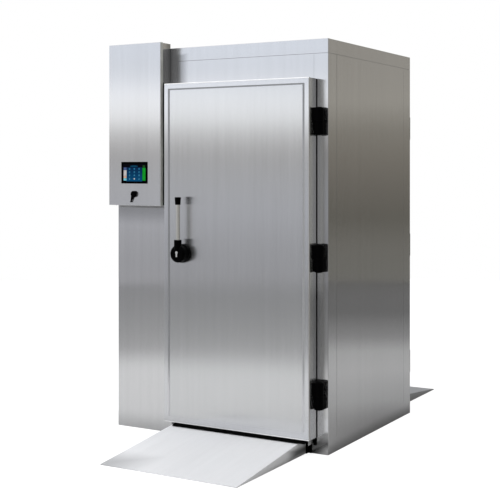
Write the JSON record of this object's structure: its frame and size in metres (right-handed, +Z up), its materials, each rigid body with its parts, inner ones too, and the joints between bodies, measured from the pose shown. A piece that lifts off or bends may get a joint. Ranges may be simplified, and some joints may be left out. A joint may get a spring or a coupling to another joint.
{
  "type": "blast chiller",
  "caption": "Roll-through blast chiller: insulated steel cabinet with a door and ramp at each end, lever handles, fans, evaporator and a control box with a touch screen.",
  "frame": {"origin": "on the floor, under the middle of the cabinet", "axes": "+Z up, -Y out of the front door, +X to the right seen from the front"},
  "size_m": [1.435, 2.766, 2.328],
  "materials": {
    "cabinet_steel": "brushed upright",
    "lid_steel": "brushed upright",
    "leaf_steel": "brushed upright",
    "edge_steel": "bright brushed",
    "frame_steel": "satin",
    "ramp_steel": "fine satin",
    "grip_steel": "polished",
    "lock_nickel": "satin nickel",
    "wire_steel": "bright zinc",
    "zinc_plate": "zinc plated",
    "copper": "drawn copper",
    "fin_aluminium": "mill",
    "grey_foam": "grey strip over foam",
    "black_plastic": "fine moulded grain",
    "black_gloss": "gloss",
    "black_rubber": "matt",
    "motor_black": "baked enamel",
    "fan_plastic": "moulded",
    "gear_plastic": "moulded",
    "drain_plastic": "moulded",
    "lamp_plastic": "opal",
    "knob_plastic": "moulded",
    "screen_display": "glass over display"
  },
  "bodies": {
    "cabinet": {"floor_panel": "cabinet_steel", "left_wall_panel": "cabinet_steel", "right_wall_panel": "cabinet_steel", "ceiling_panel": "cabinet_steel", "left_corner_panels": "cabinet_steel", "header_panels": "cabinet_steel", "right_corner_panels": "cabinet_steel", "door_frames": "frame_steel", "control_box_body": "cabinet_steel", "control_box_lid": "lid_steel", "screen_bezel": "black_gloss", "touch_screen": "screen_display", "port_socket": "black_plastic", "mounting_plate": "zinc_plate", "switch_gear": "gear_plastic", "fan_panel": "cabinet_steel", "fan_guards": "wire_steel", "fan_motors": "motor_black", "evaporator_fins": "fin_aluminium", "evaporator_tubes": "copper", "refrigerant_lines": "copper", "drip_tray": "cabinet_steel", "drain_pipe": "drain_plastic", "trolley_rails": "frame_steel", "interior_lamp": "lamp_plastic", "frame_hinges": "black_plastic", "hinge_pins": "wire_steel", "keepers": "frame_steel", "front_ramp": "ramp_steel", "rear_ramp": "ramp_steel"},
    "front_door": {"front_edge_frame": "edge_steel", "front_outer_skin": "leaf_steel", "front_foam_core": "grey_foam", "front_inner_skin": "leaf_steel", "front_seals": "black_rubber", "front_door_hinges": "black_plastic", "front_rose": "black_plastic"},
    "front_lever": {"front_lever_hub": "black_plastic", "front_lever_grip": "grip_steel", "front_lever_cap": "black_plastic", "front_lock_cylinder": "lock_nickel", "front_latch_claw": "wire_steel", "front_release_knob": "knob_plastic"},
    "rear_door": {"rear_edge_frame": "edge_steel", "rear_outer_skin": "leaf_steel", "rear_foam_core": "grey_foam", "rear_inner_skin": "leaf_steel", "rear_seals": "black_rubber", "rear_door_hinges": "black_plastic", "rear_rose": "black_plastic"},
    "rear_lever": {"rear_lever_hub": "black_plastic", "rear_lever_grip": "grip_steel", "rear_lever_cap": "black_plastic", "rear_lock_cylinder": "lock_nickel", "rear_latch_claw": "wire_steel", "rear_release_knob": "knob_plastic"},
    "fan_rotor_1": {"fan_impeller_1": "fan_plastic"},
    "fan_rotor_2": {"fan_impeller_2": "fan_plastic"},
    "fan_rotor_3": {"fan_impeller_3": "fan_plastic"},
    "cap": {"port_cap": "black_rubber"}
  },
  "joints": [
    {"name": "front_door_swing", "type": "hinge", "parent": "cabinet", "child": "front_door", "pos_m": [0.6759, -0.638, 1.0855], "axis": [0, 0, 1], "range_deg": [0, 120]},
    {"name": "rear_door_swing", "type": "hinge", "parent": "cabinet", "child": "rear_door", "pos_m": [0.6759, 0.638, 1.0855], "axis": [0, 0, -1], "range_deg": [0, 120]},
    {"name": "front_lever_turn", "type": "hinge", "parent": "front_door", "child": "front_lever", "pos_m": [-0.1735, -0.703, 1.086], "axis": [0, 1, 0], "range_deg": [0, 90], "stiffness_Nm_per_rad": 2, "springref_deg": -28.65},
    {"name": "rear_lever_turn", "type": "hinge", "parent": "rear_door", "child": "rear_lever", "pos_m": [-0.1735, 0.703, 1.086], "axis": [0, 1, 0], "range_deg": [0, 90], "stiffness_Nm_per_rad": 2, "springref_deg": -28.65},
    {"name": "port_cap_pull", "type": "slide", "parent": "cabinet", "child": "cap", "axis": [0, -1, 0], "range_m": [0, 0.02]},
    {"name": "fan_spin_1", "type": "hinge", "parent": "cabinet", "child": "fan_rotor_1", "pos_m": [-0.2925, 0, 0.48833], "axis": [1, 0, 0], "continuous": true},
    {"name": "fan_spin_2", "type": "hinge", "parent": "cabinet", "child": "fan_rotor_2", "pos_m": [-0.2925, 0, 1.105], "axis": [1, 0, 0], "continuous": true},
    {"name": "fan_spin_3", "type": "hinge", "parent": "cabinet", "child": "fan_rotor_3", "pos_m": [-0.2925, 0, 1.72167], "axis": [1, 0, 0], "continuous": true}
  ]
}
